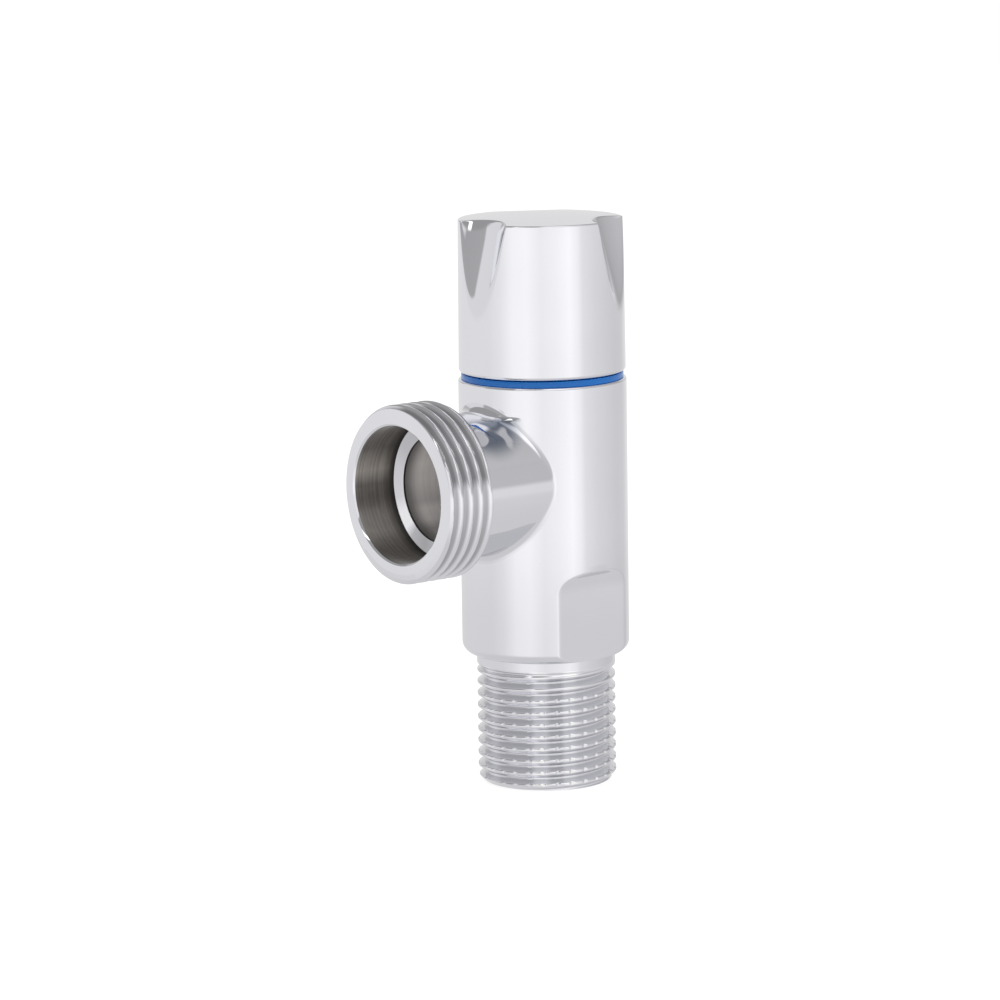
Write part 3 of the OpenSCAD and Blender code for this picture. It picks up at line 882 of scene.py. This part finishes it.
inletSizes = {
    "outline": [(7.2, 0.0, 0.25), (9.5, 0.0, 0.12), (10.4, 0.9, 0.0), (10.4, 20.0, 0.0),
                (7.5, 20.0, 0.0), (7.2, 19.59, 0.0)],
    "step": 0.1,
    "coarseStep": 0.9,
    "wallInside": 9.6,      # outside this radius the outline keeps its fine steps
    "steps": 360,
    "thread": {"Crest Radius": 10.4, "Thread Depth": 1.02, "Crest Start": 1.176,
               "Thread Low": -5.0, "Thread High": 18.0, "Run Out": 0.7, "Notch Count": 30.0,
               "Notch Turn": -43.2 / 360, "Notch Half Width": 0.3, "Notch Depth": 0.26,
               "Notch Top": 14.4, "Bore Radius": 7.35},
}
outletSizes = {
    "outline": [(10.45, 27.9, 0.04), (10.2, 27.65, 0.04), (10.2, 20.4, 0.05), (8.0, 20.4, 0.06),
                (8.0, 20.01, 0.0), (8.6, 19.6, 0.0), (12.75, 19.6, 0.1), (13.15, 20.0, 0.0),
                (13.15, 27.4, 0.0), (12.65, 27.9, 0.12)],
    "step": 0.09,
    "coarseStep": 0.9,
    "wallInside": 12.7,
    "steps": 360,
    "thread": {"Crest Radius": 13.15, "Thread Depth": 1.12, "Crest Start": 0.6,
               "Thread Low": 5.0, "Thread High": 60.0, "Bore Radius": 10.25},
}
upright = Matrix.Identity(4)
alongBranch = (Matrix.Translation((0, 0, branchHeight * mm))
               @ Matrix.Rotation(math.radians(-branchTurn), 4, "X"))

inletThread = cutThread("inletThread", inletSizes, upright, (inletChrome, bodyNickel))
outletThread = cutThread("outletThread", outletSizes, alongBranch, (outletChrome, mouthNickel))
outletThread.visible_glossy = False  # its mirror image would clutter the clean barrel
faceCounts = [len(piece.data.polygons) for piece in (inletThread, outletThread)]
print("threads cut:", faceCounts, "faces")

knobSizes = {
    "bottom": 62.0,
    "top": 84.8,
    "radius": 12.45,
    "topRadius": 12.25,
    "dome": 0.5,
    "lowerEdge": 0.6,
    "topEdge": 0.2,
    "notches": (-90.0, 30.0, 150.0),
    "notchDepth": 3.35,
    "notchLength": 12.8,
    "notchRadius": 7.4,
    "notchSpread": 27,      # degrees each way, inside which the mesh is fine
    "crease": 0.5,
    "flare": 0.22,          # the notches open a little in their last millimetres
    "flareStart": 82.2,
    "wallInside": 11.15,
    "straightInside": 70.0,
    "cavityTop": 80.5,
    "cavityTopRadius": 8.0,
    "bossRadius": 7.0,
    "bossBottom": 67.6,
    "socketRadius": 5.6,
    "socketTop": 76.7,
    "socketFlat": 4.9,
}
knobMesh = {
    "fineStep": 0.36,       # degrees in the notches
    "coarseStep": 2.0,
    "edgeSteps": 6,
    "lowRows": (62.8, 71.0, 0.6),
    "notchRows": (71.2, 84.55, 0.11),
    "wallRow": 66.0,
    "bossRow": 74.0,
    "socketRow": 72.0,
    "rimSteps": 6,
    "faceRings": (1, 0.99, 0.96, 0.9, 0.8, 0.65, 0.5, 0.35, 0.2, 0.1, 0),
    "ceilingRings": (1, 0.5, 0),
    "sharpAngle": 75,
}
farAway = 99.0  # where a notch isn't met
notchReach = 1.0  # radians each way in which it can be


def halfTurn(angle):  # the same direction between -180 and 180
    return (angle + 180) % 360 - 180


def notchRadius(angles, heights, sizes):
    # distance from the axis to the leaning groove in each direction, far away beside it
    lean = math.atan(sizes["notchDepth"] / sizes["notchLength"])
    c, s = math.cos(lean), math.sin(lean)
    above = np.maximum(heights - sizes["flareStart"], 0) / (sizes["top"] - sizes["flareStart"])
    depth = sizes["notchDepth"] + sizes["flare"] * above ** 2
    reach = (sizes["topRadius"] - depth) * c - (heights - sizes["top"]) * s + sizes["notchRadius"]
    near = np.full(np.broadcast_shapes(heights.shape, angles.shape), farAway)
    for middle in sizes["notches"]:
        off = np.radians(halfTurn(angles - middle))
        spread = np.sin(off) ** 2 + (c * np.cos(off)) ** 2
        towards = reach * c * np.cos(off)
        inside = towards ** 2 - spread * (reach ** 2 - sizes["notchRadius"] ** 2)
        hit = (towards - np.sqrt(np.maximum(inside, 0))) / spread
        near = np.where((inside > 0) & (np.abs(off) < notchReach), np.minimum(near, hit), near)
    return near


def knobColumns(notches, spread, fine, coarse):
    parts = [halfTurn(evenly(m - spread, m + spread, fine)) for m in notches]
    plain = evenly(-180, 180, coarse)
    parts.append([a for a in plain if all(abs(halfTurn(a - m)) > spread + fine for m in notches)])
    angles = np.unique(np.round(np.concatenate(parts), 3))
    return np.concatenate([angles[angles < 180 - nearly], [angles[0] + 360]])


def makeKnob(sizes, rows):
    surface = newSurface()
    columns = knobColumns(sizes["notches"], sizes["notchSpread"],
                          rows["fineStep"], rows["coarseStep"])
    edge, lip, crease = sizes["lowerEdge"], sizes["topEdge"], sizes["crease"]
    bottom, top, topRadius = sizes["bottom"], sizes["top"], sizes["topRadius"]
    # the wall with its notches
    lower = arcPoints((sizes["radius"] - edge, bottom + edge), edge, -90, 0, rows["edgeSteps"])
    heights = np.concatenate([lower[:, 1], np.arange(*rows["lowRows"]),
                              np.arange(*rows["notchRows"]), [top - lip]])[:, None]
    wall = sizes["radius"] + (topRadius - sizes["radius"]) / (top - bottom) * (heights - bottom)
    wall[:len(lower), 0] = lower[:, 0]
    outer = softMin(wall, notchRadius(columns, heights, sizes), crease)
    addSheet(surface, wrapPoints(outer, columns, heights))
    # the rounded rim, which follows the dome into the notches
    rim = outer[-1]
    roll = np.radians(np.linspace(0, 90, rows["rimSteps"]))[:, None]
    domeEdge = topRadius - lip
    rise = np.maximum(sizes["dome"] * (1 - ((rim - lip) / domeEdge) ** 2), 0)
    rimHeights = np.concatenate([np.full((1, len(columns)), top - lip),
                                 top - lip + rise + lip * np.sin(roll)])
    rimRadius = softMin(topRadius, notchRadius(columns, rimHeights, sizes), crease)
    rimRadius -= np.concatenate([[[0]], lip * (1 - np.cos(roll))])
    rimRadius[0] = rim
    addSheet(surface, wrapPoints(rimRadius, columns, rimHeights))
    # the domed top
    face = np.array(rows["faceRings"])[:, None] * rimRadius[-1]
    faceHeights = top + sizes["dome"] * (1 - (face / domeEdge) ** 2)
    faceHeights[0] = rimHeights[-1]
    addSheet(surface, wrapPoints(face, columns, faceHeights))
    # the hollow inside, with the boss and its flatted socket
    inner = [
        (lower[0, 0], bottom),
        (sizes["wallInside"], bottom),
        (sizes["wallInside"], rows["wallRow"]),
        (sizes["wallInside"], sizes["straightInside"]),
        (sizes["cavityTopRadius"], sizes["cavityTop"]),
        (sizes["bossRadius"], sizes["cavityTop"]),
        (sizes["bossRadius"], rows["bossRow"]),
        (sizes["bossRadius"], sizes["bossBottom"]),
        (sizes["socketRadius"], sizes["bossBottom"]),
    ]
    addSheet(surface, turnedSheet(inner, columns))
    flat = sizes["socketFlat"] / np.maximum(np.cos(np.radians(columns)), leastSlope)
    socket = np.minimum(sizes["socketRadius"], flat)
    mouth = np.full(len(columns), sizes["socketRadius"])
    socketHeights = np.array([sizes["bossBottom"], rows["socketRow"], sizes["socketTop"]])
    socketRows = np.array([mouth, socket, socket])
    addSheet(surface, wrapPoints(socketRows, columns, socketHeights[:, None]))
    ceiling = np.array(rows["ceilingRings"])[:, None] * socket
    addSheet(surface, wrapPoints(ceiling, columns, sizes["socketTop"]))
    return surfaceMesh("knobShell", surface, [chrome], rows["sharpAngle"])


knobShell = linkPiece("knobShell", makeKnob(knobSizes, knobMesh))
print("knob made")

ringSizes = {
    "outline": [(12.1, 61.0, 0.1), (12.1, 61.9, 0.14), (10.25, 61.9, 0.08), (10.25, 61.0, 0.08)],
    "step": 0.3,
    "steps": 240,
}


def makeRing(sizes):
    surface = newSurface()
    outline = closedLoop(roundedOutline(sizes["outline"], sizes["step"]))
    addSheet(surface, turnedSheet(outline, np.linspace(-180, 180, sizes["steps"] + 1)))
    return surfaceMesh("ringBand", surface, [bluePlastic])


ringBand = linkPiece("ringBand", makeRing(ringSizes))
print("ring made")

for piece in (valveShell, inletThread, outletThread):
    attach(piece, "valve")
    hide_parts("valve_body")
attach(ringBand, "valve")
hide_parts("indicator_ring")
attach(knobShell, "knob")
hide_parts("handle")

innerFinishes = {
    "handle_bush": nylon,
    "cartridge_housing": brass,
    "cartridge_oring": rubber,
    "spindle": brass,
    "spindle_clip": steel,
    "spindle_oring_upper": rubber,
    "spindle_oring_lower": rubber,
    "slip_washer": nylon,
    "rotating_disc": ceramic,
    "fixed_disc": ceramic,
    "seat_seal": rubber,
    "seal_support_ring": steel,
}
for nodeName, finish in innerFinishes.items():
    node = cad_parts[nodeName]
    if not node.data.materials:
        node.data.materials.append(finish)
    for i in range(len(node.data.materials)):
        node.data.materials[i] = finish
    node.visible_glossy = False  # the bores mirror bare nickel only
print("pieces placed on their bodies")

studioLook = {
    # brightness by direction round the axis in degrees, just below the horizon
    "low": ((-180, 0.79), (-160, 0.80), (-140, 0.80), (-118, 0.80), (-99, 0.865), (-80, 1.01),
            (-60, 1.04), (-40, 0.94), (-20, 0.99), (0, 1.08), (12, 0.98), (20, 0.84), (40, 0.756),
            (60, 0.71), (80, 0.665), (100, 0.67), (120, 0.79), (150, 0.79), (180, 0.79)),
    # the same, somewhat above the horizon
    "high": ((-180, 0.46), (-172, 0.74), (-127, 0.76), (-122, 0.42), (-72, 0.40), (-65, 0.86),
             (-40, 0.86), (-10, 0.60), (40, 0.54), (75, 0.48), (95, 0.42), (112, 0.60),
             (128, 0.75), (150, 0.77), (165, 0.62), (180, 0.46)),
    # the same, far up
    "upper": ((-180, 0.34), (-83, 0.34), (-80, 2.0), (-75, 2.0), (-72, 0.34), (-52, 0.34),
              (-40, 0.62), (-28, 1.15), (8, 1.15), (24, 0.84), (38, 0.56), (47, 0.54),
              (75, 0.49), (94, 0.34), (180, 0.34)),
    "underneath": 0.72,
    # what is seen after two throws by the metal, below and above the horizon
    "secondLow": 0.64,
    "secondHigh": ((-180, 0.56), (-165, 0.92), (-75, 0.92), (-60, 0.56), (40, 0.56), (60, 0.42),
                   (140, 0.42), (180, 0.56)),
    # after three or more: brighter towards the branch's mouth, and steeply up or down
    "deepMouth": ((-180, 0.55), (-128, 0.55), (-112, 1.5), (-68, 1.5), (-52, 0.55), (180, 0.55)),
    "deep": 0.55,
    "throws": (1.5, 2.5),   # above these counts the second and the deep levels hold
    "matt": 0.7,            # what everything else but the metal gets
    # heights of the view, from -1 straight down to 1 straight up, where one gives way to the next
    "toHigh": (-0.08, 0.04),
    "toUpper": (0.39, 0.46),
    "toUnderneath": (-0.35, -0.75),
    "toSecondHigh": (0.0, 0.2),
    "toDeep": (0.35, 0.5),
}


def makeStudio(look):
    world = bpy.data.worlds.new("studio")
    bpy.context.scene.world = world
    world.use_nodes = True
    tree = world.node_tree
    tree.nodes.clear()
    x, y, z = splitNode(tree, newNode(tree, "ShaderNodeTexCoord").outputs["Generated"])
    turn = plus(tree, turnNode(tree, x, y), 0.5)
    low, high, upper, secondHigh, deepMouth = (
        directionRamp(tree, turn, look[name])
        for name in ("low", "high", "upper", "secondHigh", "deepMouth"))
    once = mixColours(tree, fadeNode(tree, z, *look["toHigh"]), low, high)
    once = mixColours(tree, fadeNode(tree, z, *look["toUpper"]), once, upper)
    once = mixColours(tree, fadeNode(tree, z, *look["toUnderneath"]), once, look["underneath"])
    fade = fadeNode(tree, z, *look["toSecondHigh"])
    twice = mixColours(tree, fade, look["secondLow"], secondHigh)
    steep = fadeNode(tree, mathNode(tree, "ABSOLUTE", z), *look["toDeep"])
    often = mixColours(tree, steep, deepMouth, look["deep"])
    rays = newNode(tree, "ShaderNodeLightPath").outputs
    level = once
    for limit, following in zip(look["throws"], (twice, often)):
        past = mathNode(tree, "GREATER_THAN", rays["Glossy Depth"], limit)
        level = mixColours(tree, past, level, following)
    metal, plain, white = (
        newNode(tree, "ShaderNodeBackground", {"Color": colour, "Strength": strength})
        for colour, strength in ((level, 1.0), (paint(1.0), look["matt"]), (paint(1.0), 1.0)))
    seen = blendShaders(tree, rays["Is Glossy Ray"], plain, metal)
    seen = blendShaders(tree, rays["Is Camera Ray"], seen, white)
    newNode(tree, "ShaderNodeOutputWorld", {"Surface": seen.outputs[0]})


makeStudio(studioLook)

floorLook = {
    "size": 6.0,
    "glow": 0.82,           # for the camera only
    "colour": 0.28,
    "near": 0.12,           # mirrored in the metal it is a dim sheet up to here
    "far": 0.25,            # and clear from here
    "dim": 0.91,
}


def makeFloor(look):
    half = look["size"] / 2
    mesh = bpy.data.meshes.new("benchTop")
    corners = [(-half, -half, 0), (half, -half, 0), (half, half, 0), (-half, half, 0)]
    mesh.from_pydata(corners, [], [(0, 1, 2, 3)])
    floor = linkPiece("benchTop", mesh)
    material = bpy.data.materials.new("paleBench")
    material.use_nodes = True
    tree = material.node_tree
    tree.nodes.clear()
    rays = newNode(tree, "ShaderNodeLightPath").outputs
    matt = newNode(tree, "ShaderNodeBsdfDiffuse", {"Color": paint(look["colour"])})
    strength = times(tree, rays["Is Camera Ray"], look["glow"])
    glow = newNode(tree, "ShaderNodeEmission", {"Strength": strength})
    both = newNode(tree, "ShaderNodeAddShader", {0: matt.outputs[0], 1: glow.outputs[0]})
    away = distanceNode(tree, *splitNode(tree, objectPlace(tree))[:2])
    level = mixColours(tree, fadeNode(tree, away, look["near"], look["far"]), look["dim"], 1.0)
    clear = newNode(tree, "ShaderNodeBsdfTransparent", {"Color": level})
    seen = blendShaders(tree, rays["Is Glossy Ray"], both, clear)
    newNode(tree, "ShaderNodeOutputMaterial", {"Surface": seen.outputs[0]})
    mesh.materials.append(material)


makeFloor(floorLook)

lampSetup = [
    {"name": "overheadLamp", "place": (-0.10, -0.15, 0.9), "size": 0.9, "watts": 3.5},
    {"name": "sideLamp", "place": (0.75, 0.25, 0.55), "size": 0.7, "watts": 2.0},
]
lampAim = (0, 0, 0.04)


def makeLamp(setup):
    data = bpy.data.lights.new(setup["name"], "AREA")
    data.shape = "DISK"
    data.size = setup["size"]
    data.energy = setup["watts"]
    lamp = bpy.data.objects.new(setup["name"], data)
    x, y, z = np.array(lampAim) - np.array(setup["place"])
    yaw, pitch = math.atan2(y, x), math.atan2(-z, math.hypot(x, y))
    turn = Matrix.Rotation(yaw, 4, "Z") @ Matrix.Rotation(pitch - math.pi / 2, 4, "Y")
    lamp.matrix_world = Matrix.Translation(setup["place"]) @ turn
    lamp.visible_glossy = False
    bpy.context.scene.collection.objects.link(lamp)


for setup in lampSetup:
    makeLamp(setup)
print("studio lit")
